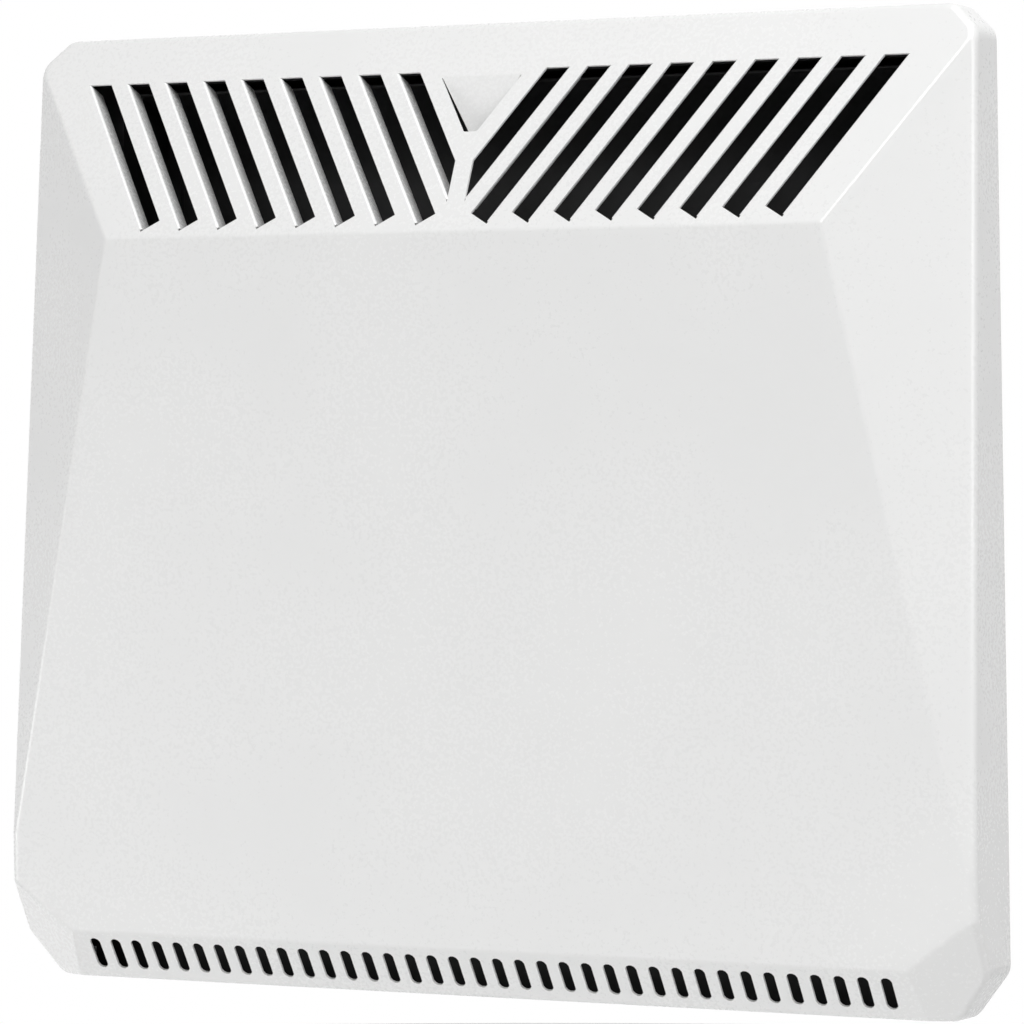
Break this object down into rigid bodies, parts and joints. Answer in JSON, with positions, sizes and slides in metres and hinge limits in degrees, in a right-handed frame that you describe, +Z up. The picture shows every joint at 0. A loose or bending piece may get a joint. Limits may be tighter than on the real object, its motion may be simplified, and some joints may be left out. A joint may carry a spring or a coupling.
{
  "type": "convector heater",
  "caption": "Wall-hung electric convector heater with a faceted white steel cover, leaning warm-air louvres, sill inlet slots and a side control panel.",
  "frame": {"origin": "on the wall plane, midway between the four screw holes of the wall bracket, level with the middle of the cover's height", "axes": "+X to the viewer's right when facing the heater, +Y into the wall, +Z up"},
  "size_m": [0.46, 0.1119, 0.4134],
  "materials": {
    "cover_paint": "smooth gloss white powder coat",
    "casing_paint": "matt black powder coat",
    "zinc_steel": "bright zinc plating on cold-rolled steel",
    "shield_steel": "aluminised steel, dull",
    "screw_steel": "zinc-plated, with soft machining marks",
    "element_aluminium": "extruded, with fine lengthwise lines",
    "rod_steel": "heat-tinted stainless sheath",
    "ceramic": "unglazed steatite",
    "panel_plastic": "fine moulded grain",
    "knob_plastic": "fine moulded grain",
    "switch_plastic": "satin moulded",
    "rocker_plastic": "polished moulded",
    "lens": "clear amber lens",
    "phenolic": "dull moulded phenolic",
    "brass": "nickel-free, slightly dulled",
    "cutout_metal": "drawn cap",
    "nylon": "natural nylon",
    "gland_plastic": "moulded nylon",
    "rubber": "moulded rubber"
  },
  "bodies": {
    "bracket": {"wall_bracket": "zinc_steel"},
    "heater": {"front_cover": "cover_paint", "rear_panel": "casing_paint", "casing_top_wall": "casing_paint", "casing_bottom_wall": "casing_paint", "casing_left_wall": "casing_paint", "casing_right_wall": "casing_paint", "cover_screws": "screw_steel", "heating_element": "element_aluminium", "heating_rod": "rod_steel", "rod_terminals": "screw_steel", "element_bushes": "ceramic", "element_bracket_left": "zinc_steel", "element_bracket_right": "zinc_steel", "heat_shield": "shield_steel", "air_guide": "casing_paint", "inner_screws": "screw_steel", "control_panel": "panel_plastic", "panel_screws": "screw_steel", "thermostat": "phenolic", "thermostat_nut": "brass", "power_switch_upper": "switch_plastic", "power_switch_lower": "switch_plastic", "pilot_light": "lens", "cutout_bracket": "zinc_steel", "overheat_cutout": "cutout_metal", "tilt_switch": "phenolic", "terminal_block": "nylon", "cable_gland": "gland_plastic", "earth_screw": "brass", "wall_spacers": "rubber"},
    "knob": {"thermostat_knob": "knob_plastic", "thermostat_spindle": "brass"},
    "upper_rocker": {"rocker_upper": "rocker_plastic"},
    "lower_rocker": {"rocker_lower": "rocker_plastic"}
  },
  "joints": [
    {"name": "lift", "type": "slide", "parent": "bracket", "child": "heater", "axis": [0, 0, 1], "range_m": [0, 0.01]},
    {"name": "knob_turn", "type": "hinge", "parent": "heater", "child": "knob", "pos_m": [0.2, -0.0365, 0.116], "axis": [-1, 0, 0], "range_deg": [0, 270]},
    {"name": "upper_rocker_tip", "type": "hinge", "parent": "heater", "child": "upper_rocker", "pos_m": [0.19674, -0.0365, 0.076], "axis": [0, -1, 0], "range_deg": [0, 18]},
    {"name": "lower_rocker_tip", "type": "hinge", "parent": "heater", "child": "lower_rocker", "pos_m": [0.19674, -0.0365, 0.05], "axis": [0, -1, 0], "range_deg": [0, 18]}
  ]
}
